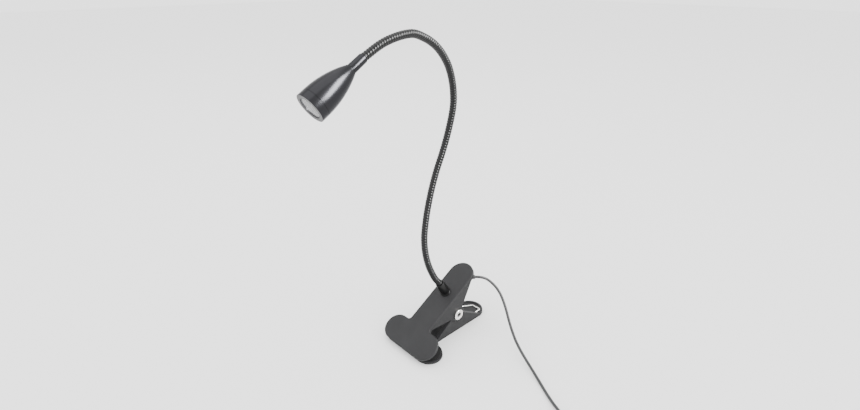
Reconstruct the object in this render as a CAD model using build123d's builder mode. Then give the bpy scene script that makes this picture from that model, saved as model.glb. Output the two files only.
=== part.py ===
"""Clip-on reading lamp: a sprung T-jaw clip, a bendable neck, a small bullet-shaped LED head and a low-voltage
cord with an inline switch and a plug. The lamp stands on the flat back of its lower clip half.

The frame: the origin is on the underside of the lower clip half, X runs from the jaws to the handles,
Y across the clip, and Z up. Millimetres.
"""

from build123d import *

import os
from math import cos, pi, radians, sin, tan

# Clip halves: both are the same T-shaped tray, with different skirts
BAR_WIDTH = 69.0
BAR_DEPTH = 27.0
STEM_WIDTH = 28.0
HALF_LENGTH = 108.8
NOTCH_FILLET = 3.0
PLATE = 2.4
RIM = 3.5
BAR_RIM = 2.6
BAR_RIM_END = 26.0
WALL = 2.0
EDGE_ROUND = 0.7

# Clip hinge
JAW_ANGLE = 30.9
JAW_FRONT_X = -45.0
PIVOT = Vector(16.0, 0.0, 20.6)
UPPER_PIVOT_ALONG = 62.5
UPPER_PIVOT_DEEP = 21.5
OPENING = 28.0
EAR_RADIUS = 8.6
SKIRT_CORE = 3.0
SKIRT_FRONT = 30.0
SKIRT_BACK = 97.0
LAYER_GAP = 0.3
POCKET_GAP = 0.6
SHAFT_RADIUS = 3.0
SHAFT_BORE = 1.9
RUNNING_GAP = 0.08
RIVET_HEAD = 5.75
RIVET_HEAD_THICK = 1.8

# Jaw pads
PAD_INSET = 2.3
PAD_THICK = 1.8

# Spring
WIRE = 0.7
COIL_MEAN = 4.6
COIL_TURNS = 3
COIL_PITCH = 1.35
COIL_FIRST_Y = 4.6
LOWER_BAR_X = 56.0
LOWER_BAR_END = 8.8
LOWER_LEG_Y = 8.4
UPPER_LEG_ALONG = 83.0

# Neck
NECK_RADIUS = 3.4
NECK_BORE = 1.5
BALL_RADIUS = 3.5
CUP_RADIUS = 3.8
COLLAR_ALONG = 70.4
COLLAR_HEIGHT = 17.0
COLLAR_BASE_RADIUS = 5.2
COLLAR_TOP_RADIUS = 4.4
SPIGOT_RADIUS = 4.0
NECK_TAIL = 6.0
NECK_JOINTS = [
    Vector(-2.4, 2.0, 65.8),
    Vector(-9.6, 8.5, 106.5),
    Vector(5.8, 16.5, 147.8),
    Vector(24.4, 18.5, 188.4),
    Vector(33.1, 15.0, 229.3),
    Vector(22.6, 10.0, 263.7),
    Vector(0.8, 5.0, 286.1),
    Vector(-29.6, 0.5, 297.8),
]
NECK_MIDDLES = [
    Vector(-9.0, 5.0, 85.5),
    Vector(-3.6, 12.4, 127.2),
    Vector(14.8, 18.2, 168.1),
    Vector(30.5, 17.4, 208.2),
    Vector(30.2, 12.8, 246.7),
    Vector(13.0, 7.6, 276.0),
    Vector(-13.5, 2.8, 293.5),
    Vector(-55.3, -1.4, 294.4),
]
HEAD_START = Vector(-77.1, -2.8, 285.3)
HEAD_AXIS = Vector(-0.851, 0.006, -0.525).normalized()

# Head, measured along its axis from the back of the ferrule
FERRULE_LENGTH = 13.3
FERRULE_BACK_RADIUS = 3.8
FERRULE_FRONT_RADIUS = 4.0
FERRULE_SOCKET = 9.0
FERRULE_SPIGOT_RADIUS = 3.0
FERRULE_SPIGOT_END = 19.0
SHELL_END = 48.3
HEAD_RADIUS = 12.0
SHELL_ARC = 84.3
SHELL_WALL = 1.3
SINK_SEAT = 33.0
BOARD_BACK = 42.8
BOARD_THICK = 1.2
CHIP_SIZE = 3.4
CHIP_THICK = 0.9
LENS_FLANGE_BACK = 51.5
LIP_BACK = 53.0
HEAD_END = 54.4
LENS_RADIUS = 8.0
LENS_RECESS = 0.7
BEZEL_OPENING = 8.7
SEAM = 0.25

# Cord: the points that its route bends round, from the grommet to the switch
CORD_RADIUS = 1.4
GROMMET_RADIUS = 2.2
GROMMET_OUT = 1.2
EXIT_TURN = 65.0
EXIT_HEADING = 50.0
EXIT_DROP = 16.0
EXIT_DEEP = 5.0
EXIT_RUN = 7.0
CORD_HEIGHT = 4.8
CORD_POINTS = [
    Vector(53.4, -24.0, 49.0),
    Vector(57.2, -33.3, 39.7),
    Vector(53.6, -45.0, 29.0),
    Vector(41.9, -61.8, 18.8),
    Vector(31.1, -80.2, 11.0),
    Vector(21.6, -108.7, 1.4),
    Vector(6.1, -135.9, 1.4),
]
CORD_HEADING = Vector(-0.483, -0.876, 0.0).normalized()
SWITCH_FRONT = Vector(-9.0, -164.6, CORD_HEIGHT)
SWITCH_LENGTH = 42.0
SWITCH_WIDTH = 15.0
SWITCH_HALF_HEIGHT = 4.8
SWITCH_NOSE = 7.0
SWITCH_RUN = 12.0
LINK_LENGTH = 14.0

# Put-away coil
TURNS_WIDE = 3
TURNS_HIGH = 4
COIL_MIDDLE_RADIUS = 15.4
TIE_THICK = 0.6
TIE_WIDTH_DEGREES = 24.0

# Plug
TAIL_LENGTH = 14.0
PLUG_BODY = (24.0, 15.5, 9.6)
PLUG_SHELL = (14.0, 12.0, 4.5)
PLUG_SHELL_WALL = 0.3

os.makedirs("parts", exist_ok=True)


def save(builder, name):
    builder.part.label = name
    export_step(builder.part, f"parts/{name}.step")


# ---------------------------------------------------------------- clip planes

up_along = Vector(cos(radians(JAW_ANGLE)), 0, sin(radians(JAW_ANGLE)))
up_out = Vector(-sin(radians(JAW_ANGLE)), 0, cos(radians(JAW_ANGLE)))
upper_front = PIVOT - up_along * UPPER_PIVOT_ALONG + up_out * UPPER_PIVOT_DEEP
lower_plane = Plane(origin=(JAW_FRONT_X, 0, 0), x_dir=(1, 0, 0), z_dir=(0, 0, 1))
upper_plane = Plane(origin=upper_front, x_dir=up_along, z_dir=-up_out)


def on_upper(along, deep, y=0.0):
    """A point of the upper half: along its back from the jaw's edge, and that deep below its outer face."""
    return upper_front + up_along * along - up_out * deep + Vector(0, y, 0)


def clip_outline(plane, inset=0.0):
    """The T-shaped outline of a clip half: a jaw bar with round ends and a handle with a round end."""
    middle = HALF_LENGTH - STEM_WIDTH / 2
    with BuildSketch(plane) as outline:
        with Locations((BAR_DEPTH / 2, 0)):
            SlotOverall(BAR_WIDTH, BAR_DEPTH, rotation=90)
        with Locations(((BAR_DEPTH / 2 + middle) / 2, 0)):
            Rectangle(middle - BAR_DEPTH / 2, STEM_WIDTH)
        with Locations((middle, 0)):
            Circle(STEM_WIDTH / 2)
        notches = [
            v
            for v in outline.vertices()
            if abs(v.X - BAR_DEPTH) < 0.1 and abs(abs(v.Y) - STEM_WIDTH / 2) < 0.1
        ]
        fillet(notches, NOTCH_FILLET)
        if inset:
            offset(amount=-inset, mode=Mode.REPLACE)
    return outline.sketch


def clip_ring(plane, outer, inner):
    """The band of the outline between two insets."""
    return clip_outline(plane, outer) - clip_outline(plane, inner)


def bar_cut(plane):
    """The jaw bar's area above its lower rim."""
    with BuildSketch(plane.offset(BAR_RIM)) as area:
        with Locations((BAR_RIM_END / 2 - 1, 0)):
            Rectangle(BAR_RIM_END + 2, BAR_WIDTH + 2)
    return area.sketch


def skirt_side(along_plate, ear, core, turn=0.0):
    """A skirt seen from the side: from the plate's line in to the hinge pin, with a round ear about the pin."""
    start, end = along_plate
    with BuildSketch(Plane.XZ.offset(-BAR_WIDTH)) as side:
        with BuildLine():
            Line((start.X, start.Z), (end.X, end.Z))
            CenterArc((PIVOT.X, PIVOT.Z), core, 0, 360)
        make_hull()
        with Locations((PIVOT.X, PIVOT.Z)):
            Circle(ear)
    return side.sketch.rotate(Axis((PIVOT.X, 0, PIVOT.Z), (0, 1, 0)), turn)


upper_line = (on_upper(SKIRT_FRONT, PLATE), on_upper(SKIRT_BACK, PLATE))
lower_line = (
    Vector(JAW_FRONT_X + SKIRT_FRONT, 0, PLATE),
    Vector(JAW_FRONT_X + SKIRT_BACK, 0, PLATE),
)
upper_outline = clip_outline(upper_plane)
lower_outline = clip_outline(lower_plane)
upper_wall = clip_ring(upper_plane, 0, WALL)
lower_wall = clip_ring(lower_plane, 0, WALL + LAYER_GAP)
lower_inner_wall = clip_ring(lower_plane, WALL + LAYER_GAP, 2 * WALL + LAYER_GAP)
upper_side = skirt_side(upper_line, EAR_RADIUS, SKIRT_CORE)
lower_side = skirt_side(lower_line, EAR_RADIUS, SKIRT_CORE)
clear_line = (on_upper(SKIRT_FRONT - 6, -8), on_upper(SKIRT_BACK + 6, -8))
clear_sides = [
    skirt_side(clear_line, EAR_RADIUS + POCKET_GAP, SKIRT_CORE + POCKET_GAP, turn)
    for turn in (0, OPENING / 2, OPENING)
]
HINGE_PLANE = Plane(origin=PIVOT, x_dir=(1, 0, 0), z_dir=(0, 1, 0))

# ---------------------------------------------------------------- clip halves

collar_foot = on_upper(COLLAR_ALONG, 0)
collar_plane = Plane(origin=collar_foot, x_dir=up_along, z_dir=up_out)
round_middle = HALF_LENGTH - STEM_WIDTH / 2
exit_rim = on_upper(
    round_middle + cos(radians(EXIT_TURN)) * STEM_WIDTH / 2,
    EXIT_DEEP,
    -sin(radians(EXIT_TURN)) * STEM_WIDTH / 2,
)
exit_level = up_along * cos(radians(EXIT_HEADING)) + Vector(0, -sin(radians(EXIT_HEADING)), 0)
exit_out = exit_level * cos(radians(EXIT_DROP)) - up_out * sin(radians(EXIT_DROP))
exit_plane = Plane(origin=exit_rim, z_dir=exit_out)

with BuildPart() as upper_clip_half:
    extrude(upper_wall, amount=HALF_LENGTH / 2)
    extrude(upper_side, amount=2 * BAR_WIDTH, both=True, mode=Mode.INTERSECT)
    extrude(upper_outline, amount=RIM)
    extrude(clip_outline(upper_plane.offset(PLATE), WALL), amount=RIM, mode=Mode.SUBTRACT)
    extrude(bar_cut(upper_plane), amount=RIM, mode=Mode.SUBTRACT)
    with BuildSketch(HINGE_PLANE):
        Circle(SHAFT_RADIUS + RUNNING_GAP)
    extrude(amount=BAR_WIDTH, both=True, mode=Mode.SUBTRACT)
    with BuildSketch(collar_plane):
        Circle(SPIGOT_RADIUS)
    extrude(amount=RIM, both=True, mode=Mode.SUBTRACT)
    with BuildSketch(exit_plane):
        Circle(GROMMET_RADIUS)
    extrude(amount=WALL + 2, both=True, mode=Mode.SUBTRACT)
    back = upper_clip_half.faces().filter_by(collar_plane).sort_by(Axis(PIVOT, up_out))[-1]
    fillet(back.outer_wire().edges(), EDGE_ROUND)
save(upper_clip_half, "upper_clip_half")

with BuildPart() as lower_clip_half:
    extrude(lower_wall, amount=HALF_LENGTH / 2)
    extrude(lower_side, amount=2 * BAR_WIDTH, both=True, mode=Mode.INTERSECT)
    for side in clear_sides:
        extrude(side, amount=2 * BAR_WIDTH, both=True, mode=Mode.SUBTRACT)
    extrude(lower_outline, amount=RIM)
    extrude(clip_outline(lower_plane.offset(PLATE), WALL), amount=RIM, mode=Mode.SUBTRACT)
    extrude(bar_cut(lower_plane), amount=RIM, mode=Mode.SUBTRACT)
    back = lower_clip_half.faces().sort_by(Axis.Z)[0]
    fillet(back.outer_wire().edges(), EDGE_ROUND)
with BuildPart() as lower_ears:
    extrude(lower_inner_wall, amount=HALF_LENGTH / 2)
    extrude(lower_side, amount=2 * BAR_WIDTH, both=True, mode=Mode.INTERSECT)
    with BuildSketch(HINGE_PLANE):
        Circle(SHAFT_RADIUS)
    extrude(amount=BAR_WIDTH, both=True, mode=Mode.SUBTRACT)
with lower_clip_half:
    add(lower_ears.part)
save(lower_clip_half, "lower_clip_half")

for label, plane in (("lower_jaw_pad", lower_plane), ("upper_jaw_pad", upper_plane)):
    with BuildPart() as jaw_pad:
        with BuildSketch(plane.offset(PLATE)):
            with Locations((BAR_DEPTH / 2, 0)):
                SlotOverall(BAR_WIDTH - 2 * PAD_INSET, BAR_DEPTH - 2 * PAD_INSET, rotation=90)
        extrude(amount=PAD_THICK)
    save(jaw_pad, label)

# ---------------------------------------------------------------- hinge pin and spring

head_in = STEM_WIDTH / 2 + LAYER_GAP
with BuildPart() as pivot_rivet:
    with BuildSketch(HINGE_PLANE):
        Circle(SHAFT_RADIUS)
    extrude(amount=head_in + RIVET_HEAD_THICK, both=True)
    for end in (1, -1):
        with BuildSketch(HINGE_PLANE.offset(end * head_in)):
            Circle(RIVET_HEAD)
        extrude(amount=end * RIVET_HEAD_THICK)
    rims = pivot_rivet.edges().filter_by(GeomType.CIRCLE).group_by(Axis.Y)
    fillet([rims[0].sort_by(SortBy.RADIUS)[-1], rims[-1].sort_by(SortBy.RADIUS)[-1]], 0.5)
    with BuildSketch(HINGE_PLANE):
        Circle(SHAFT_BORE)
    extrude(amount=2 * head_in, both=True, mode=Mode.SUBTRACT)
save(pivot_rivet, "pivot_rivet")

leg_height = PLATE + WIRE + 0.05
upper_leg_end = on_upper(UPPER_LEG_ALONG, PLATE + WIRE + 0.4)
upper_leg_start = PIVOT + up_out * COIL_MEAN
last_turn = COIL_FIRST_Y + (COIL_TURNS - 1) * COIL_PITCH
with BuildPart() as torsion_spring:
    for side in (1, -1):
        for turn in range(COIL_TURNS):
            ring_y = side * (COIL_FIRST_Y + turn * COIL_PITCH)
            with BuildSketch(Plane.XY.offset(PIVOT.Z)):
                with Locations((PIVOT.X + COIL_MEAN, ring_y)):
                    Circle(WIRE)
            revolve(axis=Axis(PIVOT, (0, 1, 0)))
    with BuildLine() as lower_leg:
        FilletPolyline(
            (PIVOT.X, last_turn, PIVOT.Z - COIL_MEAN),
            (PIVOT.X + 16, LOWER_LEG_Y, leg_height),
            (PIVOT.X + 30, LOWER_LEG_Y, leg_height),
            (LOWER_BAR_X, LOWER_LEG_Y - 6.4, leg_height),
            (LOWER_BAR_X + 0.8, -LOWER_BAR_END, leg_height),
            (PIVOT.X + 30, -LOWER_BAR_END, leg_height),
            (PIVOT.X + 16, -LOWER_LEG_Y, leg_height),
            (PIVOT.X, -last_turn, PIVOT.Z - COIL_MEAN),
            radius=3,
        )
    with BuildSketch(lower_leg.line ^ 0):
        Circle(WIRE)
    sweep(path=lower_leg.line)
    for side in (1, -1):
        with BuildLine() as upper_leg:
            Line(
                upper_leg_start + Vector(0, side * COIL_FIRST_Y, 0),
                upper_leg_end + Vector(0, side * COIL_FIRST_Y, 0),
            )
        with BuildSketch(upper_leg.line ^ 0):
            Circle(WIRE)
        sweep(path=upper_leg.line)
save(torsion_spring, "torsion_spring")

# ---------------------------------------------------------------- collar and neck

collar_top = collar_foot + up_out * COLLAR_HEIGHT
collar_section = Plane(origin=collar_foot, x_dir=up_along, z_dir=up_along.cross(up_out))
with BuildPart() as base_collar:
    with BuildSketch(collar_section):
        with BuildLine():
            Polyline(
                (NECK_RADIUS, -PLATE - 4.1),
                (SPIGOT_RADIUS, -PLATE - 4.1),
                (SPIGOT_RADIUS, 0),
                (COLLAR_BASE_RADIUS, 0),
                (COLLAR_BASE_RADIUS, 1.2),
                (COLLAR_TOP_RADIUS, COLLAR_HEIGHT - 0.8),
                (COLLAR_TOP_RADIUS - 0.5, COLLAR_HEIGHT),
                (NECK_RADIUS, COLLAR_HEIGHT),
                close=True,
            )
        make_face()
    revolve(axis=Axis(collar_foot, up_out))
save(base_collar, "base_collar")

with BuildPart() as collar_washer:
    with BuildSketch(upper_plane.offset(PLATE)):
        with Locations((COLLAR_ALONG, 0)):
            Circle(7.2)
            Circle(SPIGOT_RADIUS, mode=Mode.SUBTRACT)
    extrude(amount=0.6)
save(collar_washer, "collar_washer")

with BuildPart() as collar_nut:
    with BuildSketch(upper_plane.offset(PLATE + 0.6)):
        with Locations((COLLAR_ALONG, 0)):
            RegularPolygon(radius=6.0, side_count=6, major_radius=False)
            Circle(SPIGOT_RADIUS, mode=Mode.SUBTRACT)
    extrude(amount=2.6)
    chamfer(collar_nut.edges().filter_by(GeomType.CIRCLE), 0.3)
save(collar_nut, "collar_nut")

def neck_piece(path, radius, cup=None, ball=None, bore=None):
    """A length of neck along its path: a socket cut round the joint behind, a ball on the joint ahead."""
    with BuildPart() as piece:
        with BuildSketch(path ^ 0):
            Circle(radius)
        sweep(path=path)
        if ball:
            with Locations(ball):
                Sphere(BALL_RADIUS)
        if cup:
            with Locations(cup):
                Sphere(CUP_RADIUS, mode=Mode.SUBTRACT)
        if bore:
            with BuildSketch(path ^ 0):
                Circle(bore)
            sweep(path=path, mode=Mode.SUBTRACT)
            with BuildSketch(path ^ 1):
                Circle(bore)
            extrude(amount=BALL_RADIUS + 1, mode=Mode.SUBTRACT)
    return piece


neck_paths = []
with BuildLine() as first_path:
    Line(collar_foot - up_out * NECK_TAIL, collar_top)
    TangentArc(collar_top, NECK_JOINTS[0], tangent=up_out)
neck_paths.append(first_path.line)
for behind, middle, ahead in zip(NECK_JOINTS, NECK_MIDDLES, NECK_JOINTS[1:]):
    with BuildLine() as middle_path:
        ThreePointArc(behind, middle, ahead)
    neck_paths.append(middle_path.line)
with BuildLine() as last_path:
    Line(HEAD_START + HEAD_AXIS * FERRULE_SOCKET, HEAD_START)
    front_arc = TangentArc(HEAD_START, NECK_MIDDLES[-1], tangent=-HEAD_AXIS)
    TangentArc(NECK_MIDDLES[-1], NECK_JOINTS[-1], tangent=front_arc % 1)
neck_paths.append(last_path.line)

for i, path in enumerate(neck_paths):
    cup = NECK_JOINTS[i - 1] if i > 0 else None
    ball = NECK_JOINTS[i] if i < len(NECK_JOINTS) else None
    save(neck_piece(path, NECK_RADIUS, cup, ball, NECK_BORE), f"neck_tube_{i + 1}")
    save(neck_piece(path, NECK_BORE, cup), f"neck_cable_{i + 1}")

# ---------------------------------------------------------------- head

head_side = HEAD_AXIS.cross(Vector(0, 1, 0)).normalized()
head_section = Plane(origin=HEAD_START, x_dir=head_side, z_dir=head_side.cross(HEAD_AXIS))
head_plane = Plane(origin=HEAD_START, x_dir=head_side, z_dir=HEAD_AXIS)
head_line = Axis(HEAD_START, HEAD_AXIS)


def shell_radius(along):
    """The shade's outer radius: an arc that runs out parallel to the axis at the bezel."""
    back = SHELL_END - along
    return HEAD_RADIUS - SHELL_ARC + (SHELL_ARC**2 - back**2) ** 0.5


with BuildPart() as head_ferrule:
    with BuildSketch(head_section):
        with BuildLine():
            Polyline(
                (NECK_RADIUS, 0),
                (FERRULE_BACK_RADIUS - 0.3, 0),
                (FERRULE_BACK_RADIUS, 0.6),
                (FERRULE_FRONT_RADIUS, FERRULE_LENGTH),
                (FERRULE_SPIGOT_RADIUS, FERRULE_LENGTH),
                (FERRULE_SPIGOT_RADIUS, FERRULE_SPIGOT_END),
                (NECK_BORE, FERRULE_SPIGOT_END),
                (NECK_BORE, FERRULE_SOCKET),
                (NECK_RADIUS, FERRULE_SOCKET),
                close=True,
            )
        make_face()
    revolve(axis=head_line)
save(head_ferrule, "head_ferrule")

shell_floor = FERRULE_LENGTH + 1.6
seat_radius = shell_radius(SINK_SEAT) - SHELL_WALL
thread_radius = HEAD_RADIUS - 1.3
with BuildPart() as shade_shell:
    with BuildSketch(head_section):
        with BuildLine():
            back_rim = (shell_radius(FERRULE_LENGTH + 0.5), FERRULE_LENGTH + 0.5)
            middle = (shell_radius(32), 32)
            front_rim = (HEAD_RADIUS, SHELL_END)
            ThreePointArc(back_rim, middle, front_rim)
            Polyline(
                front_rim,
                (thread_radius, SHELL_END),
                (thread_radius, SHELL_END + 2.6),
                (seat_radius, SHELL_END + 2.6),
                (seat_radius, SINK_SEAT),
                (seat_radius - 1.4, SINK_SEAT),
                (4.6, shell_floor + 3),
                (4.6, shell_floor),
                (FERRULE_SPIGOT_RADIUS, shell_floor),
                (FERRULE_SPIGOT_RADIUS, FERRULE_LENGTH),
                (back_rim[0] - 0.5, FERRULE_LENGTH),
                back_rim,
            )
        make_face()
    revolve(axis=head_line)
save(shade_shell, "shade_shell")

with BuildPart() as ferrule_nut:
    with BuildSketch(head_plane.offset(shell_floor)):
        RegularPolygon(radius=3.9, side_count=6, major_radius=False)
        Circle(FERRULE_SPIGOT_RADIUS, mode=Mode.SUBTRACT)
    extrude(amount=2.2)
save(ferrule_nut, "ferrule_nut")

with BuildPart() as heat_sink:
    with BuildSketch(head_plane.offset(SINK_SEAT)):
        Circle(seat_radius)
        Circle(NECK_BORE, mode=Mode.SUBTRACT)
    extrude(amount=BOARD_BACK - SINK_SEAT)
    with BuildSketch(head_plane.offset(SINK_SEAT)):
        with PolarLocations(seat_radius - 1.6, 8):
            SlotCenterToCenter(2.4, 1.4)
    extrude(amount=6, mode=Mode.SUBTRACT)
save(heat_sink, "heat_sink")

with BuildPart() as led_board:
    with BuildSketch(head_plane.offset(BOARD_BACK)):
        Circle(seat_radius - 0.3)
        Circle(NECK_BORE, mode=Mode.SUBTRACT)
    extrude(amount=BOARD_THICK)
save(led_board, "led_board")

board_front = BOARD_BACK + BOARD_THICK
with BuildPart() as led_chip:
    with BuildSketch(head_plane.offset(board_front)):
        Rectangle(CHIP_SIZE, CHIP_SIZE)
    extrude(amount=CHIP_THICK)
save(led_chip, "led_chip")

with BuildPart() as head_lead:
    with BuildSketch(head_plane.offset(FERRULE_SOCKET)):
        Circle(NECK_BORE)
    extrude(amount=board_front - FERRULE_SOCKET)
save(head_lead, "head_lead")

with BuildPart() as reflector:
    with BuildSketch(head_section):
        with BuildLine():
            Polyline(
                (2.9, board_front),
                (5.0, board_front),
                (8.2, LENS_FLANGE_BACK - 1.0),
                (seat_radius - 0.1, LENS_FLANGE_BACK - 1.0),
                (seat_radius - 0.1, LENS_FLANGE_BACK),
                (7.6, LENS_FLANGE_BACK),
                close=True,
            )
        make_face()
    revolve(axis=head_line)
save(reflector, "reflector")

bezel_inside = thread_radius
with BuildPart() as lens:
    with BuildSketch(head_section):
        with BuildLine():
            Polyline(
                (0, LENS_FLANGE_BACK),
                (bezel_inside - 0.2, LENS_FLANGE_BACK),
                (bezel_inside - 0.2, LIP_BACK),
                (LENS_RADIUS, LIP_BACK),
                (LENS_RADIUS, HEAD_END - LENS_RECESS),
                (0, HEAD_END - LENS_RECESS),
                close=True,
            )
        make_face()
    revolve(axis=head_line)
save(lens, "lens")

with BuildPart() as front_bezel:
    with BuildSketch(head_section):
        with BuildLine():
            Polyline(
                (bezel_inside, SHELL_END + SEAM),
                (HEAD_RADIUS, SHELL_END + SEAM),
                (HEAD_RADIUS, HEAD_END - 0.4),
                (HEAD_RADIUS - 0.4, HEAD_END),
                (BEZEL_OPENING, HEAD_END),
                (BEZEL_OPENING, LIP_BACK),
                (bezel_inside, LIP_BACK),
                close=True,
            )
        make_face()
    revolve(axis=head_line)
save(front_bezel, "front_bezel")

# ---------------------------------------------------------------- lead inside the clip and grommet

exit_in = exit_rim - exit_out * (WALL + 2)
exit_end = exit_rim + exit_out * GROMMET_OUT
with BuildPart() as cord_grommet:
    with BuildSketch(Plane(origin=exit_in, z_dir=exit_out)):
        Circle(GROMMET_RADIUS)
        Circle(CORD_RADIUS, mode=Mode.SUBTRACT)
    extrude(amount=WALL + 2)
    with BuildSketch(exit_plane):
        Circle(GROMMET_RADIUS)
        Circle(CORD_RADIUS, mode=Mode.SUBTRACT)
    extrude(amount=GROMMET_OUT, taper=8)
save(cord_grommet, "cord_grommet")

lead_start = collar_foot - up_out * NECK_TAIL
with BuildPart() as inner_lead:
    with BuildLine() as lead_path:
        FilletPolyline(
            lead_start,
            lead_start - up_out * 7,
            on_upper(88, 6.5),
            exit_in - exit_level * 4,
            exit_in,
            exit_end,
            radius=[4, 3, 3, 3],
        )
    with BuildSketch(lead_path.line ^ 0):
        Circle(CORD_RADIUS)
    sweep(path=lead_path.line)
save(inner_lead, "inner_lead")

# ---------------------------------------------------------------- cord


def widest_radii(points):
    """For each corner of a route, 0.45 of its shorter run over the tangent of half the turn."""
    radii = []
    for before, corner, after in zip(points, points[1:], points[2:]):
        turn = radians((corner - before).get_angle(after - corner))
        shorter = min((corner - before).length, (after - corner).length)
        radii.append(0.45 * shorter / tan(turn / 2))
    return radii


cord_route = [
    exit_end,
    exit_end + exit_out * EXIT_RUN,
    *CORD_POINTS,
    SWITCH_FRONT - CORD_HEADING * SWITCH_RUN,
    SWITCH_FRONT,
]
cord_radii = widest_radii(cord_route)
with BuildPart() as cord_tube:
    with BuildLine() as cord_path:
        FilletPolyline(*cord_route, radius=cord_radii)
    with BuildSketch(cord_path.line ^ 0):
        Circle(CORD_RADIUS)
    sweep(path=cord_path.line)
save(cord_tube, "cord_tube")
cord_bar = pi * CORD_RADIUS**2 * cord_path.wires()[0].length
print("cord tube: length", round(cord_path.wires()[0].length, 1), "radii", [round(r, 1) for r in cord_radii])
print("cord tube: volume over section times length", round(cord_tube.part.volume / cord_bar, 4))

outer_turn = COIL_MIDDLE_RADIUS + CORD_RADIUS * (TURNS_WIDE - 1)
across = Vector(CORD_HEADING.Y, -CORD_HEADING.X, 0)
switch_back = SWITCH_FRONT + CORD_HEADING * SWITCH_LENGTH
link_end = switch_back + CORD_HEADING * LINK_LENGTH
coil_centre = link_end + across * outer_turn
tail_start = coil_centre + across * outer_turn
plug_back = tail_start - CORD_HEADING * TAIL_LENGTH

coil_half_width = CORD_RADIUS * TURNS_WIDE
coil_height = 2 * CORD_RADIUS * TURNS_HIGH
coil_floor = Plane(origin=(coil_centre.X, coil_centre.Y, TIE_THICK), z_dir=(0, 0, 1))
with BuildPart() as cord_coil:
    with BuildSketch(coil_floor):
        Circle(COIL_MIDDLE_RADIUS + coil_half_width)
        Circle(COIL_MIDDLE_RADIUS - coil_half_width, mode=Mode.SUBTRACT)
    extrude(amount=coil_height)
save(cord_coil, "cord_coil")

for label, start, length, heading in (
    ("cord_link", switch_back, LINK_LENGTH, CORD_HEADING),
    ("cord_tail", tail_start, TAIL_LENGTH, -CORD_HEADING),
):
    with BuildPart() as short_run:
        with BuildSketch(Plane(origin=start, z_dir=heading)):
            Circle(CORD_RADIUS)
        extrude(amount=length)
        add(cord_coil.part, mode=Mode.SUBTRACT)
    save(short_run, label)

tie_side = Plane(
    origin=(coil_centre.X, coil_centre.Y, TIE_THICK),
    x_dir=CORD_HEADING,
    z_dir=CORD_HEADING.cross(Vector(0, 0, 1)),
)
with BuildPart() as coil_tie:
    with BuildSketch(tie_side):
        with Locations((COIL_MIDDLE_RADIUS, coil_height / 2)):
            Rectangle(2 * (coil_half_width + TIE_THICK), coil_height + 2 * TIE_THICK)
            Rectangle(2 * coil_half_width, coil_height, mode=Mode.SUBTRACT)
    revolve(
        axis=Axis(tie_side.origin, (0, 0, 1)),
        revolution_arc=TIE_WIDTH_DEGREES,
    )
save(coil_tie, "coil_tie")

# ---------------------------------------------------------------- inline switch

switch_plane = Plane(origin=SWITCH_FRONT - Vector(0, 0, CORD_HEIGHT), x_dir=CORD_HEADING, z_dir=(0, 0, 1))
seam_height = CORD_HEIGHT
top_height = 2 * SWITCH_HALF_HEIGHT + 0.2
cavity = (24.0, 11.0)
cavity_floor = 1.6
cavity_roof = top_height - 1.6
button_size = (12.0, 7.0)
button_flange = (14.0, 9.0)
BUTTON_TRAVEL = 1.2
BUTTON_GAP = 0.25


def switch_outline(plane):
    """A rounded bar that narrows at both ends to hold the cord."""
    half = SWITCH_WIDTH / 2
    with BuildSketch(plane) as outline:
        with BuildLine():
            Polyline(
                (0, 2.6),
                (SWITCH_NOSE, half),
                (SWITCH_LENGTH - SWITCH_NOSE, half),
                (SWITCH_LENGTH, 2.6),
                (SWITCH_LENGTH, -2.6),
                (SWITCH_LENGTH - SWITCH_NOSE, -half),
                (SWITCH_NOSE, -half),
                (0, -2.6),
                close=True,
            )
        make_face()
        corners = [v for v in outline.vertices() if abs(abs(v.Y) - half) < 0.1]
        fillet(corners, 5)
    return outline.sketch


cord_bore = Plane(origin=SWITCH_FRONT, z_dir=CORD_HEADING)
switch_floor_outline = switch_outline(switch_plane)
switch_seam_outline = switch_outline(switch_plane.offset(seam_height))
with BuildPart() as switch_base:
    extrude(switch_floor_outline, amount=seam_height)
    fillet(switch_base.faces().sort_by(Axis.Z)[0].edges(), 1.0)
    with BuildSketch(switch_plane.offset(cavity_floor)):
        with Locations((SWITCH_LENGTH / 2, 0)):
            Rectangle(*cavity)
    extrude(amount=seam_height, mode=Mode.SUBTRACT)
    with BuildSketch(cord_bore):
        Circle(CORD_RADIUS)
    extrude(amount=SWITCH_LENGTH, mode=Mode.SUBTRACT)
save(switch_base, "switch_base")

with BuildPart() as switch_cover:
    extrude(switch_seam_outline, amount=top_height - seam_height)
    fillet(switch_cover.faces().sort_by(Axis.Z)[-1].edges(), 1.4)
    with BuildSketch(switch_plane.offset(seam_height)):
        with Locations((SWITCH_LENGTH / 2, 0)):
            Rectangle(*cavity)
    extrude(amount=cavity_roof - seam_height, mode=Mode.SUBTRACT)
    with BuildSketch(switch_plane.offset(cavity_roof)):
        with Locations((SWITCH_LENGTH / 2, 0)):
            SlotOverall(button_size[0] + 2 * BUTTON_GAP, button_size[1] + 2 * BUTTON_GAP)
    extrude(amount=top_height, mode=Mode.SUBTRACT)
    with BuildSketch(cord_bore):
        Circle(CORD_RADIUS)
    extrude(amount=SWITCH_LENGTH, mode=Mode.SUBTRACT)
save(switch_cover, "switch_cover")

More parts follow.
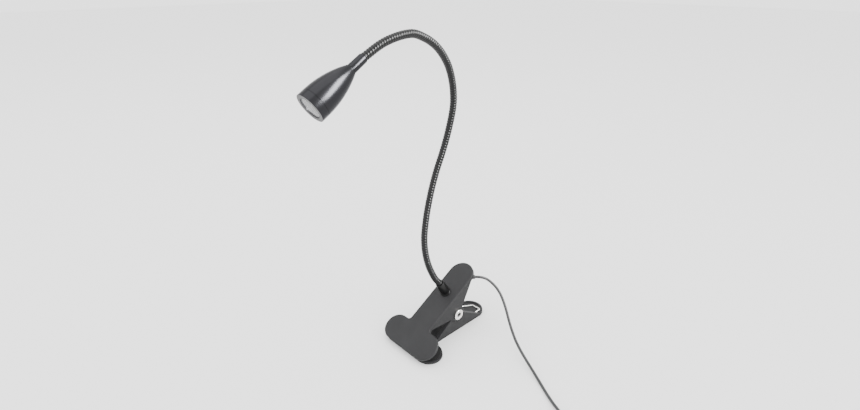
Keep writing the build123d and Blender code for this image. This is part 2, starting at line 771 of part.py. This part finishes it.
flange_top = cavity_roof - BUTTON_GAP
flange_bottom = flange_top - 0.9
core_top = flange_bottom - BUTTON_TRAVEL - 0.3
with BuildPart() as switch_button:
    with BuildSketch(switch_plane.offset(flange_bottom)):
        with Locations((SWITCH_LENGTH / 2, 0)):
            SlotOverall(*button_flange)
    extrude(amount=flange_top - flange_bottom)
    with BuildSketch(switch_plane.offset(flange_top)):
        with Locations((SWITCH_LENGTH / 2, 0)):
            SlotOverall(*button_size)
    extrude(amount=top_height + 1.6 - flange_top)
    fillet(switch_button.faces().sort_by(Axis.Z)[-1].edges(), 0.6)
save(switch_button, "switch_button")

with BuildPart() as switch_core:
    with BuildSketch(switch_plane.offset(cavity_floor)):
        with Locations((SWITCH_LENGTH / 2, 0)):
            Rectangle(cavity[0] - 4, cavity[1] - 1.5)
    extrude(amount=core_top - cavity_floor)
save(switch_core, "switch_core")

# ---------------------------------------------------------------- plug

plug_plane = Plane(origin=plug_back, x_dir=across, z_dir=-CORD_HEADING)
body_length, body_width, body_height = PLUG_BODY
shell_length, shell_width, shell_height = PLUG_SHELL
with BuildPart() as plug_body:
    with BuildSketch(plug_plane):
        RectangleRounded(5.6, 5.6, 1.5)
    with BuildSketch(plug_plane.offset(7)):
        RectangleRounded(body_width, body_height, 2.0)
    loft()
    with BuildSketch(plug_plane.offset(7)):
        RectangleRounded(body_width, body_height, 2.0)
    extrude(amount=body_length - 7)
save(plug_body, "plug_body")

shell_plane = plug_plane.offset(body_length)
inner_width = shell_width - 2 * PLUG_SHELL_WALL
inner_height = shell_height - 2 * PLUG_SHELL_WALL
with BuildPart() as plug_shell:
    with BuildSketch(shell_plane):
        RectangleRounded(shell_width, shell_height, 0.5)
        RectangleRounded(inner_width, inner_height, 0.3, mode=Mode.SUBTRACT)
    extrude(amount=shell_length)
    with BuildSketch(Plane(origin=shell_plane.origin, x_dir=-CORD_HEADING, z_dir=(0, 0, 1))):
        with Locations((6.4, 2.9), (6.4, -2.9)):
            Rectangle(2.4, 2.1)
    extrude(amount=shell_height, both=True, mode=Mode.SUBTRACT)
save(plug_shell, "plug_shell")

tongue_thick = 1.8
with BuildPart() as plug_tongue:
    with BuildSketch(shell_plane):
        with Locations((0, -inner_height / 2 + tongue_thick / 2)):
            Rectangle(inner_width - 0.6, tongue_thick)
    extrude(amount=shell_length - 0.6)
save(plug_tongue, "plug_tongue")

with BuildPart() as plug_contacts:
    with BuildSketch(shell_plane.offset(2.5)):
        with Locations((0, -inner_height / 2 + tongue_thick + 0.1)):
            with GridLocations(2.4, 1, 4, 1):
                Rectangle(1.1, 0.2)
    extrude(amount=shell_length - 5)
save(plug_contacts, "plug_contacts")

print("coil centre", coil_centre, "plug back", plug_back)
print("collar foot", collar_foot, "exit", exit_end)
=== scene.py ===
import math

import bpy
from mathutils import Matrix, Vector


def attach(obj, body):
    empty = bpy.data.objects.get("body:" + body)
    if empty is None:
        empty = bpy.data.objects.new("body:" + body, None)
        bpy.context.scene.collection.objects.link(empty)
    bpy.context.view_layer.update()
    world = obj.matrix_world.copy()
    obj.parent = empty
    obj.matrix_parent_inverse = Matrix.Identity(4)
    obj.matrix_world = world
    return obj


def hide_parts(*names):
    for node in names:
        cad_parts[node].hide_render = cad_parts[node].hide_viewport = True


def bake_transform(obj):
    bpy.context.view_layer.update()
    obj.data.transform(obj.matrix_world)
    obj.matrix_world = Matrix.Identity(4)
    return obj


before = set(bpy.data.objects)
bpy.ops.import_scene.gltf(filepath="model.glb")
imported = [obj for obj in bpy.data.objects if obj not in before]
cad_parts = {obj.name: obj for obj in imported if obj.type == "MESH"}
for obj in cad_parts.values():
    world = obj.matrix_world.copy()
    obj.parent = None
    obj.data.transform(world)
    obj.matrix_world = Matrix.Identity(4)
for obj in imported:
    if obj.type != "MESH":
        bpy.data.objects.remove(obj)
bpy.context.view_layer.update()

# The looks of a clip-on reading lamp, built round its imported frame. In metres: +X runs from the jaws to the
# handles and +Z is up. What bends, shines or shows its winding is made here. The clip's solids are shown as
# they are.

MM = 0.001


def mm(*xyz):
    """A point given in millimetres."""
    return Vector(xyz) * MM


# ---------------------------------------------------------------- camera

CAMERA_PLACE = mm(-292.9, -302.1, 340.6)
CAMERA_RIGHT = Vector((0.7297, -0.6838, -0.0008))
CAMERA_UP = Vector((0.2889, 0.3073, 0.9067))
CAMERA_BACK = Vector((-0.6197, -0.6619, 0.4218))

camera = bpy.data.objects.new("camera", bpy.data.cameras.new("camera"))
camera.data.sensor_width = 36.0
camera.data.lens = 21.02
camera.data.clip_start = 0.01
turned = Matrix((CAMERA_RIGHT, CAMERA_UP, CAMERA_BACK)).transposed().to_4x4()
camera.matrix_world = Matrix.Translation(CAMERA_PLACE) @ turned
bpy.context.scene.collection.objects.link(camera)
bpy.context.scene.camera = camera

# ---------------------------------------------------------------- cord: the route that part.py's tube follows

CORD_RADIUS = 1.4 * MM
EXIT = mm(41.125, -13.572, 54.481)
EXIT_OUT = Vector((0.6716, -0.7361, 0.0806)).normalized()
CORD_POINTS = [
    mm(53.4, -24.0, 49.0),
    mm(57.2, -33.3, 39.7),
    mm(53.6, -45.0, 29.0),
    mm(41.9, -61.8, 18.8),
    mm(31.1, -80.2, 11.0),
    mm(21.6, -108.7, 1.4),
    mm(6.1, -135.9, 1.4),
]
HEADING = Vector((-0.483, -0.876, 0.0)).normalized()
ACROSS = Vector((HEADING.y, -HEADING.x, 0.0))
SWITCH_FRONT = mm(-9.0, -164.6, 4.8)
SWITCH_LENGTH = 42.0 * MM
LINK = 14.0 * MM
TURN_RADII = [12.6 * MM, 15.4 * MM, 18.2 * MM]
TURN_HEIGHTS = [2.0 * MM, 4.8 * MM, 7.6 * MM, 10.4 * MM]
TURN_ORDER = [
    (2, 1), (2, 0), (1, 0), (0, 0), (0, 1), (1, 1), (1, 2), (0, 2), (0, 3), (1, 3), (2, 3), (2, 2), (2, 1),
]
STEP_DEGREES = 12
TIE_AT = 78
CAVITY_START = 7.0 * MM
WIRE_START = 11.0 * MM
BARE_WIRE = 0.4


def coil_points(centre, start_degrees):
    """The turns, wound clockwise: each keeps its place and steps to the next one under the tie."""
    points = []
    last = 360 * (len(TURN_ORDER) - 2) + 180
    for along in range(0, last + 1, STEP_DEGREES):
        turn, rest = divmod(along - TIE_AT + 180, 360)
        step = min(max((rest - 168) / 24, 0.0), 1.0)
        now = TURN_ORDER[turn]
        then = TURN_ORDER[min(turn + 1, len(TURN_ORDER) - 1)]
        radius = TURN_RADII[now[0]] * (1 - step) + TURN_RADII[then[0]] * step
        height = TURN_HEIGHTS[now[1]] * (1 - step) + TURN_HEIGHTS[then[1]] * step
        angle = math.radians(start_degrees - along)
        x = centre.x + radius * math.cos(angle)
        y = centre.y + radius * math.sin(angle)
        points.append(Vector((x, y, height)))
    return points


def nurbs(name, points, radius, thin=()):
    """An open curve that bends evenly from each point's run to the next; it is thin at some of the points."""
    data = bpy.data.curves.new(name, "CURVE")
    data.dimensions = "3D"
    data.bevel_depth = radius
    data.bevel_resolution = 5
    data.use_fill_caps = True
    spline = data.splines.new("NURBS")
    spline.points.add(len(points) - 1)
    for point, place in zip(spline.points, points):
        point.co = (*place, 1.0)
    for k in thin:
        spline.points[k].radius = BARE_WIRE
    spline.order_u = 3
    spline.use_endpoint_u = True
    spline.resolution_u = 8
    curve = bpy.data.objects.new(name, data)
    bpy.context.scene.collection.objects.link(curve)
    return curve


def tube_mesh(name, points, radius, thin=()):
    """(mesh tube round a smooth route, the points of its middle line)."""
    curve = nurbs(name + "_route", points, 0.0, thin)
    bpy.context.view_layer.update()
    line = bpy.data.meshes.new_from_object(curve.evaluated_get(bpy.context.evaluated_depsgraph_get()))
    middle = [v.co.copy() for v in line.vertices]
    curve.data.bevel_depth = radius
    bpy.context.view_layer.update()
    skin = bpy.data.meshes.new_from_object(curve.evaluated_get(bpy.context.evaluated_depsgraph_get()))
    bpy.data.objects.remove(curve)
    skin.materials.clear()
    skin.polygons.foreach_set("use_smooth", [True] * len(skin.polygons))
    tube = bpy.data.objects.new(name, skin)
    bpy.context.scene.collection.objects.link(tube)
    return tube, middle


switch_back = SWITCH_FRONT + HEADING * SWITCH_LENGTH
link_end = switch_back + HEADING * LINK
coil_centre = link_end + ACROSS * TURN_RADII[2]
tail_start = coil_centre + ACROSS * TURN_RADII[2]
plug_back = tail_start - HEADING * LINK
start_turn = math.degrees(math.atan2(-ACROSS.y, -ACROSS.x))
route = [EXIT, EXIT + EXIT_OUT * 7.0 * MM, *CORD_POINTS]
route += [SWITCH_FRONT - HEADING * 12.0 * MM, SWITCH_FRONT, SWITCH_FRONT + HEADING * CAVITY_START]
stripped = [len(route), len(route) + 1]
route += [SWITCH_FRONT + HEADING * WIRE_START, switch_back - HEADING * WIRE_START]
route += [switch_back - HEADING * CAVITY_START, switch_back]
route += coil_points(coil_centre, start_turn)
route += [plug_back - HEADING * 3.0 * MM]
cord, cord_line = tube_mesh("cord", route, CORD_RADIUS, stripped)

# ---------------------------------------------------------------- materials


def node(tree, kind, **inputs):
    made = tree.nodes.new(kind)
    for key, value in inputs.items():
        made.inputs[key.replace("_", " ")].default_value = value
    return made


def finish_material(name, colour, roughness, metallic=0.0, grain=900.0, grain_depth=0.00002, mottle=0.12,
                    rough_spread=0.08, specular=0.5):
    """A surface with a slightly uneven tone and gloss and a fine grain."""
    material = bpy.data.materials.new(name)
    material.use_nodes = True
    tree = material.node_tree
    shader = tree.nodes["Principled BSDF"]
    shader.inputs["Metallic"].default_value = metallic
    shader.inputs["Specular IOR Level"].default_value = specular
    place = tree.nodes.new("ShaderNodeTexCoord")
    patches = node(tree, "ShaderNodeTexNoise", Scale=60.0, Detail=6.0, Roughness=0.6)
    tree.links.new(place.outputs["Object"], patches.inputs["Vector"])
    tone = tree.nodes.new("ShaderNodeValToRGB")
    tone.color_ramp.elements[0].position = 0.3
    tone.color_ramp.elements[1].position = 0.7
    tone.color_ramp.elements[0].color = (*[c * (1 - mottle) for c in colour], 1)
    tone.color_ramp.elements[1].color = (*[min(c * (1 + mottle), 1) for c in colour], 1)
    tree.links.new(patches.outputs["Fac"], tone.inputs["Fac"])
    tree.links.new(tone.outputs["Color"], shader.inputs["Base Color"])
    gloss = tree.nodes.new("ShaderNodeMapRange")
    gloss.inputs["To Min"].default_value = roughness - rough_spread
    gloss.inputs["To Max"].default_value = roughness + rough_spread
    tree.links.new(patches.outputs["Fac"], gloss.inputs["Value"])
    tree.links.new(gloss.outputs["Result"], shader.inputs["Roughness"])
    fine = node(tree, "ShaderNodeTexNoise", Scale=grain, Detail=3.0)
    tree.links.new(place.outputs["Object"], fine.inputs["Vector"])
    bump = tree.nodes.new("ShaderNodeBump")
    bump.inputs["Distance"].default_value = grain_depth
    tree.links.new(fine.outputs["Fac"], bump.inputs["Height"])
    tree.links.new(bump.outputs["Normal"], shader.inputs["Normal"])
    return material


clip_paint = finish_material("clip_paint", (0.021, 0.021, 0.022), 0.55,
                             grain=2600, grain_depth=0.00003, specular=0.15)
pad_rubber = finish_material("pad_rubber", (0.008, 0.008, 0.008), 0.75,
                             grain=1800, grain_depth=0.00004, specular=0.15)
nickel = finish_material("nickel", (0.78, 0.77, 0.74), 0.22, metallic=1.0, grain=1500, grain_depth=0.00001)
# Painted shade: the rivet's bore is coloured darker than its nickel head.
bore_painted_shade = finish_material("bore_painted_shade", (0.12, 0.12, 0.12), 0.5, metallic=1.0, grain=1200)
spring_steel = finish_material("spring_steel", (0.72, 0.71, 0.69), 0.25, metallic=1.0, grain=1200)
collar_black = finish_material("collar_black", (0.005, 0.005, 0.005), 0.3,
                               grain=1500, grain_depth=0.00001, specular=0.2)
nut_steel = finish_material("nut_steel", (0.5, 0.5, 0.5), 0.35, metallic=1.0, grain=1200)
neck_black = finish_material("neck_black", (0.005, 0.005, 0.0052), 0.22,
                             grain=1500, grain_depth=0.00001, specular=0.22)
head_black = finish_material("head_black", (0.023, 0.023, 0.025), 0.24, metallic=1.0, grain=3000,
                             grain_depth=0.000006, mottle=0.05, rough_spread=0.03)
# The head is black anodised metal, so its edges shine less than gloss plastic would.
head_black.node_tree.nodes["Principled BSDF"].inputs["Specular Tint"].default_value = (0.75, 0.75, 0.76, 1)
rim_grey = finish_material("rim_grey", (0.045, 0.045, 0.047), 0.4,
                           grain=2000, grain_depth=0.00001, specular=0.2)
cord_black = finish_material("cord_black", (0.032, 0.032, 0.033), 0.5,
                             grain=2500, grain_depth=0.00002, specular=0.3)
fitting_black = finish_material("fitting_black", (0.014, 0.014, 0.0145), 0.5, grain=2200, grain_depth=0.00003)
sink_metal = finish_material("sink_metal", (0.6, 0.6, 0.6), 0.4, metallic=1.0)
board_white = finish_material("board_white", (0.6, 0.6, 0.58), 0.4)
phosphor = finish_material("phosphor", (0.8, 0.62, 0.18), 0.5)
reflector_plate = finish_material("reflector_plate", (0.6, 0.6, 0.61), 0.15, metallic=1.0, grain_depth=0.000004)
plug_white = finish_material("plug_white", (0.75, 0.75, 0.72), 0.45)
works_brown = finish_material("works_brown", (0.12, 0.06, 0.03), 0.55)
contact_gold = finish_material("contact_gold", (0.8, 0.55, 0.2), 0.25, metallic=1.0)

lens_clear = finish_material("lens_clear", (0.2, 0.2, 0.21), 0.15,
                             grain=700, grain_depth=0.0001, mottle=0.25, rough_spread=0.03)
lens_clear.node_tree.nodes["Principled BSDF"].inputs["Transmission Weight"].default_value = 0.8
lens_clear.node_tree.nodes["Principled BSDF"].inputs["IOR"].default_value = 1.46


def painted_edge_highlight(material, colour, reach):
    """A painted highlight: a paler line along sharp edges, where the rounded normal turns away from the true
    one.
    """
    tree = material.node_tree
    shader = tree.nodes["Principled BSDF"]
    under = shader.inputs["Base Color"].links[0].from_socket
    soft = tree.nodes.new("ShaderNodeBevel")
    soft.samples = 6
    soft.inputs["Radius"].default_value = reach
    true = tree.nodes.new("ShaderNodeNewGeometry")
    match = tree.nodes.new("ShaderNodeVectorMath")
    match.operation = "DOT_PRODUCT"
    tree.links.new(soft.outputs["Normal"], match.inputs[0])
    tree.links.new(true.outputs["Normal"], match.inputs[1])
    edge = tree.nodes.new("ShaderNodeMapRange")
    edge.inputs["From Min"].default_value = 0.99
    edge.inputs["From Max"].default_value = 0.85
    tree.links.new(match.outputs["Value"], edge.inputs["Value"])
    mix = tree.nodes.new("ShaderNodeMix")
    mix.data_type = "RGBA"
    mix.inputs["B"].default_value = (*colour, 1)
    tree.links.new(edge.outputs["Result"], mix.inputs["Factor"])
    tree.links.new(under, mix.inputs["A"])
    tree.links.new(mix.outputs["Result"], shader.inputs["Base Color"])


def paint(name, material):
    """Gives a shown CAD node its surface."""
    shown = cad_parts[name]
    shown.data.materials.clear()
    shown.data.materials.append(material)


# ---------------------------------------------------------------- neck

COLLAR_FOOT = mm(11.738, 0.0, 43.105)
OUT = Vector((-math.sin(math.radians(30.9)), 0.0, math.cos(math.radians(30.9))))
NECK_RADIUS = 3.4 * MM
RIB_PITCH = 2.5 * MM
RIB_DEPTH = 0.75 * MM
SIDES = 36
STEPS_PER_RIB = 10
NECK_JOINTS = [
    mm(-2.4, 2.0, 65.8),
    mm(-9.6, 8.5, 106.5),
    mm(5.8, 16.5, 147.8),
    mm(24.4, 18.5, 188.4),
    mm(33.1, 15.0, 229.3),
    mm(22.6, 10.0, 263.7),
    mm(0.8, 5.0, 286.1),
    mm(-29.6, 0.5, 297.8),
]
NECK_MIDDLES = [
    mm(-9.0, 5.0, 85.5),
    mm(-3.6, 12.4, 127.2),
    mm(14.8, 18.2, 168.1),
    mm(30.5, 17.4, 208.2),
    mm(30.2, 12.8, 246.7),
    mm(13.0, 7.6, 276.0),
    mm(-13.5, 2.8, 293.5),
    mm(-55.3, -1.4, 294.4),
]
HEAD_START = mm(-77.1, -2.8, 285.3)
HEAD_AXIS = Vector((-0.851, 0.006, -0.525)).normalized()


def smooth_line(knots, steps):
    """A smooth line through the knots, and where on it each knot is."""
    line, at = [], []
    for i in range(1, len(knots) - 2):
        before, a, b, after = knots[i - 1 : i + 3]
        span = (b - a).length
        leave = (b - before).normalized() * span
        arrive = (after - a).normalized() * span
        at.append(len(line))
        for k in range(steps):
            t = k / steps
            line.append(
                a * (2 * t**3 - 3 * t**2 + 1) + leave * (t**3 - 2 * t**2 + t)
                + b * (3 * t**2 - 2 * t**3) + arrive * (t**3 - t**2)
            )
    at.append(len(line))
    line.append(knots[-2])
    return line, at


knots = [COLLAR_FOOT - OUT * 12 * MM, COLLAR_FOOT, COLLAR_FOOT + OUT * 15 * MM]
for joint, middle in zip(NECK_JOINTS, NECK_MIDDLES):
    knots += [joint, middle]
knots += [HEAD_START, HEAD_START + HEAD_AXIS * 9 * MM, HEAD_START + HEAD_AXIS * 20 * MM]
neck_line, knot_at = smooth_line(knots, 40)
neck_along = [0.0]
for a, b in zip(neck_line, neck_line[1:]):
    neck_along.append(neck_along[-1] + (b - a).length)


def neck_place(along):
    """The point of the neck's middle line at a distance along it."""
    low, high = 0, len(neck_along) - 1
    while high - low > 1:
        half = (low + high) // 2
        if neck_along[half] > along:
            high = half
        else:
            low = half
    share = (along - neck_along[low]) / (neck_along[high] - neck_along[low])
    return neck_line[low].lerp(neck_line[high], share)


def neck_frames(count, step):
    """Evenly spaced places along the neck, each with two directions square to it that never twist."""
    frames = []
    side = Vector((0, 1, 0))
    for k in range(count + 1):
        here = neck_place(min(k * step, neck_along[-1]))
        ahead = (neck_place(min(k * step + step, neck_along[-1]))
                 - neck_place(max(min(k * step, neck_along[-1]) - step, 0))).normalized()
        side = (side - ahead * side.dot(ahead)).normalized()
        frames.append((here, side, ahead.cross(side)))
    return frames


ring_step = RIB_PITCH / STEPS_PER_RIB
rings = neck_frames(int(neck_along[-1] / ring_step), ring_step)


def neck_mesh(name, first, last):
    """The wound tube between two rings: one round wire wound tight, so the ribs climb one pitch a turn."""
    vertices, faces = [], []
    for k in range(first, last + 1):
        here, side, up = rings[k]
        for j in range(SIDES):
            angle = 2 * math.pi * j / SIDES
            across = ((k / STEPS_PER_RIB + j / SIDES) % 1.0) * 2 - 1
            radius = NECK_RADIUS - RIB_DEPTH * (1 - math.sqrt(max(1 - 0.97 * across**2, 0)))
            vertices.append(here + (side * math.cos(angle) + up * math.sin(angle)) * radius)
    for k in range(last - first):
        for j in range(SIDES):
            beside = (j + 1) % SIDES
            faces.append((k * SIDES + j, k * SIDES + beside, (k + 1) * SIDES + beside, (k + 1) * SIDES + j))
    mesh = bpy.data.meshes.new(name)
    mesh.from_pydata(vertices, [], faces)
    mesh.polygons.foreach_set("use_smooth", [True] * len(mesh.polygons))
    mesh.materials.append(neck_black)
    piece = bpy.data.objects.new(name, mesh)
    bpy.context.scene.collection.objects.link(piece)
    return piece


def ring_at(knot):
    return round(neck_along[knot_at[knot]] / ring_step)


cuts = [2] + [ring_at(2 + 2 * i + 1) for i in range(7)] + [len(rings) - 1]
for i in range(8):
    piece = neck_mesh(f"neck_winding_{i + 1}", cuts[i], cuts[i + 1])
    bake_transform(piece)
    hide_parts(f"neck_tube_{i + 1}")
    if i == 7:
        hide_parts("neck_tube_9")

# ---------------------------------------------------------------- turned pieces


LATHE_SIDES = 128


def lathe(name, origin, axis, profile, material, body, stands_for, sides=LATHE_SIDES):
    """A turned piece from (radius, distance along the axis) corners; its hard edges stay hard."""
    across = axis.cross(Vector((0, 1, 0)))
    if across.length < 0.1:
        across = Vector((1, 0, 0))
    across.normalize()
    other = axis.cross(across)
    vertices, faces = [], []
    for radius, along in profile:
        for j in range(sides):
            angle = 2 * math.pi * j / sides
            outward = across * math.cos(angle) + other * math.sin(angle)
            vertices.append(origin + axis * along * MM + outward * radius * MM)
    for k in range(len(profile) - 1):
        for j in range(sides):
            beside = (j + 1) % sides
            faces.append((k * sides + j, k * sides + beside, (k + 1) * sides + beside, (k + 1) * sides + j))
    mesh = bpy.data.meshes.new(name)
    mesh.from_pydata(vertices, [], faces)
    mesh.polygons.foreach_set("use_smooth", [True] * len(mesh.polygons))
    mesh.set_sharp_from_angle(angle=math.radians(25))
    mesh.materials.append(material)
    piece = bpy.data.objects.new(name, mesh)
    bpy.context.scene.collection.objects.link(piece)
    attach(piece, body)
    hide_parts(*stands_for)
    return piece


def rounded(corner_before, corner, corner_after, size, steps=4):
    """The points that round a profile's corner."""
    corner = Vector(corner)
    one = corner + (Vector(corner_before) - corner).normalized() * size
    two = corner + (Vector(corner_after) - corner).normalized() * size
    points = []
    for k in range(steps + 1):
        t = k / steps
        points.append(tuple(one * (1 - t) ** 2 + corner * 2 * t * (1 - t) + two * t**2))
    return points


SHELL_END = 48.3
HEAD_RADIUS = 12.0
SHELL_ARC = 84.3


def shell_radius(along):
    back = SHELL_END - along
    return HEAD_RADIUS - SHELL_ARC + math.sqrt(SHELL_ARC**2 - back**2)


shell_profile = [(3.0, 13.4), (shell_radius(13.3) - 0.5, 13.4), (shell_radius(13.9) - 0.1, 13.55)]
shell_profile += [(shell_radius(14.0 + k * 34.2 / 40), 14.0 + k * 34.2 / 40) for k in range(41)]
shell_profile += [(HEAD_RADIUS - 0.06, 48.3), (10.8, 48.3)]
lathe("head_shell", HEAD_START, HEAD_AXIS, shell_profile, head_black, "head", ["shade_shell"])

ferrule_profile = [(3.1, 0.0)]
ferrule_profile += rounded((3.1, 0.0), (3.82, 0.0), (3.84, 1.0), 0.4)
ferrule_profile += rounded((3.95, 12.0), (4.0, 13.2), (3.0, 13.2), 0.25)
ferrule_profile += [(3.0, 13.4)]
lathe("head_socket", HEAD_START, HEAD_AXIS, ferrule_profile, head_black, "head", ["head_ferrule"])

bezel_profile = [(10.7, 48.4), (HEAD_RADIUS - 0.06, 48.4), (HEAD_RADIUS, 48.46)]
bezel_profile += rounded((HEAD_RADIUS, 50.0), (HEAD_RADIUS, 54.4), (11.0, 54.4), 0.3)
lathe("bezel_band", HEAD_START, HEAD_AXIS, bezel_profile, head_black, "head", ["front_bezel"])
front_profile = [(11.7, 54.4)]
front_profile += rounded((11.0, 54.4), (8.7, 54.4), (8.7, 53.6), 0.25)
front_profile += [(8.7, 52.9)]
lathe("bezel_front", HEAD_START, HEAD_AXIS, front_profile, rim_grey, "head", ["front_bezel"])

collar_profile = [(5.7, 0.02)]
collar_profile += rounded((5.7, 0.0), (5.65, 1.5), (5.2, 1.6), 0.25)
collar_profile += [(5.15, 1.8), (5.0, 4.0), (4.85, 8.0), (4.6, 12.5)]
collar_profile += rounded((4.6, 12.5), (4.4, 17.0), (3.5, 17.0), 0.7)
collar_profile += [(3.4, 16.9), (3.3, 15.0)]
lathe("collar_sleeve", COLLAR_FOOT, OUT, collar_profile, collar_black, "upper_half", ["base_collar"])

PIVOT = mm(16.0, 0.0, 20.6)
for name, side in (("rivet_near", -1), ("rivet_far", 1)):
    rivet_profile = [(5.75, 14.3)]
    rivet_profile += rounded((5.75, 14.3), (5.75, 16.1), (3.8, 16.3), 0.8, steps=6)
    rivet_profile += [(4.2, 16.25), (3.6, 16.2), (3.1, 15.9), (2.6, 15.85)]
    rivet_profile += [(2.2, 15.5), (1.9, 14.6), (1.9, 0.0)]
    lathe(name, PIVOT, Vector((0, side, 0)), rivet_profile, nickel, "base", [])
    rivet = bpy.data.objects[name].data
    # Painted shade: the faces of the bore get the darker colour.
    rivet.materials.append(bore_painted_shade)
    for face in rivet.polygons[(len(rivet_profile) - 4) * LATHE_SIDES:]:
        face.material_index = 1
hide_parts("pivot_rivet")

# ---------------------------------------------------------------- spring

WIRE = 0.7 * MM
COIL_MEAN = 4.6 * MM
FIRST_Y = 4.6 * MM
COIL_PITCH = 1.45 * MM
ALONG = Vector((math.cos(math.radians(30.9)), 0.0, math.sin(math.radians(30.9))))
UPPER_FRONT = PIVOT - ALONG * 62.5 * MM + OUT * 21.5 * MM


def on_upper(along, deep, y):
    """A point of the upper half: along its back, and that deep below its outer face, in millimetres."""
    return UPPER_FRONT + ALONG * along * MM - OUT * deep * MM + Vector((0, y, 0))


def spring_side(side):
    """One end's turns, from the leg under the upper half down to the leg on the lower half's floor."""
    points = [on_upper(83, 3.6, side * FIRST_Y), on_upper(74, 10, side * FIRST_Y)]
    turns = 3.0
    start = math.radians(150)
    for k in range(int(turns * 14) + 6):
        angle = start - 2 * math.pi * k / 14
        y = side * (FIRST_Y + COIL_PITCH * k / 14)
        points.append(PIVOT + Vector((COIL_MEAN * math.cos(angle), y, COIL_MEAN * math.sin(angle))))
    return points


spring_route = spring_side(1)
spring_route += [
    mm(24, 8.6, 10.0), mm(31, 8.4, 3.3), mm(40, 8.4, 3.15), mm(46, 8.4, 3.15), mm(50.5, 5.2, 3.15),
    mm(55.0, 2.6, 3.15), mm(56.4, 1.2, 3.15), mm(56.5, -1.0, 3.15), mm(56.9, -6.5, 3.15),
    mm(56.8, -8.8, 3.15), mm(54, -8.9, 3.15), mm(40, -8.8, 3.15), mm(31, -8.4, 3.3), mm(24, -8.6, 10.0),
]
spring_route += reversed(spring_side(-1))
spring, _ = tube_mesh("spring_wire", spring_route, WIRE)
spring.data.materials.append(spring_steel)
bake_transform(spring)
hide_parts("torsion_spring")

# ---------------------------------------------------------------- cord pieces

cord.data.materials.append(cord_black)
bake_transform(cord)
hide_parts("cord_tube", "cord_link", "cord_coil", "cord_tail")

# ---------------------------------------------------------------- shown CAD nodes

# Painted highlight: a paler line along the clip's sharp edges.
painted_edge_highlight(clip_paint, (0.05, 0.05, 0.052), 0.5 * MM)

SHOWN = {
    clip_paint: ["upper_clip_half", "lower_clip_half"],
    pad_rubber: ["upper_jaw_pad", "lower_jaw_pad", "inner_lead", "head_lead"]
    + [f"neck_cable_{i}" for i in range(1, 10)],
    nut_steel: ["collar_washer", "collar_nut", "ferrule_nut"],
    nickel: ["plug_shell"],
    fitting_black: ["cord_grommet", "coil_tie", "switch_base", "switch_cover", "switch_button", "plug_body"],
    sink_metal: ["heat_sink"],
    board_white: ["led_board"],
    phosphor: ["led_chip"],
    reflector_plate: ["reflector"],
    lens_clear: ["lens"],
    plug_white: ["plug_tongue"],
    works_brown: ["switch_core"],
    contact_gold: ["plug_contacts"],
}
for material, names in SHOWN.items():
    for name in names:
        paint(name, material)

# ---------------------------------------------------------------- floor and light
# The panel gives the pale band on the head's side, and shows only in what is glossy.

floor_mesh = bpy.data.meshes.new("floor")
half = 6.0
corners = [(-half, -half, 0), (half, -half, 0), (half, half, 0), (-half, half, 0)]
floor_mesh.from_pydata(corners, [], [(0, 1, 2, 3)])
floor = bpy.data.objects.new("floor", floor_mesh)
bpy.context.scene.collection.objects.link(floor)
pale = bpy.data.materials.new("pale_floor")
pale.use_nodes = True
pale.node_tree.nodes["Principled BSDF"].inputs["Base Color"].default_value = (0.93, 0.93, 0.93, 1)
pale.node_tree.nodes["Principled BSDF"].inputs["Roughness"].default_value = 0.9
floor_mesh.materials.append(pale)

world = bpy.data.worlds.new("studio")
bpy.context.scene.world = world
world.use_nodes = True
world.node_tree.nodes["Background"].inputs["Color"].default_value = (1, 1, 1, 1)
world.node_tree.nodes["Background"].inputs["Strength"].default_value = 2.35


def softbox(name, place, target, along, width, height, power, diffuse):
    """A soft light aimed at a point, its height turned towards a direction. It casts no shadow."""
    back = (place - target).normalized()
    up = (along - back * along.dot(back)).normalized()
    light = bpy.data.objects.new(name, bpy.data.lights.new(name, "AREA"))
    light.data.shape = "RECTANGLE"
    light.data.size = width
    light.data.size_y = height
    light.data.energy = power
    light.data.use_shadow = False
    light.visible_diffuse = diffuse
    light.matrix_world = Matrix.Translation(place) @ Matrix((up.cross(back), up, back)).transposed().to_4x4()
    bpy.context.scene.collection.objects.link(light)


head_middle = HEAD_START + HEAD_AXIS * 33.5 * MM
panel_at = head_middle + Vector((0.444, -0.747, 0.496)) * 1.2
softbox("highlight_panel", panel_at, head_middle, along=Vector((0.33, 0.72, 0.5)),
        width=0.5, height=0.9, power=85, diffuse=False)
softbox("top_light", Vector((-0.3, 0.2, 1.9)), Vector((0, 0, 0.1)), along=Vector((0, 1, 0)),
        width=1.8, height=1.8, power=20, diffuse=True)
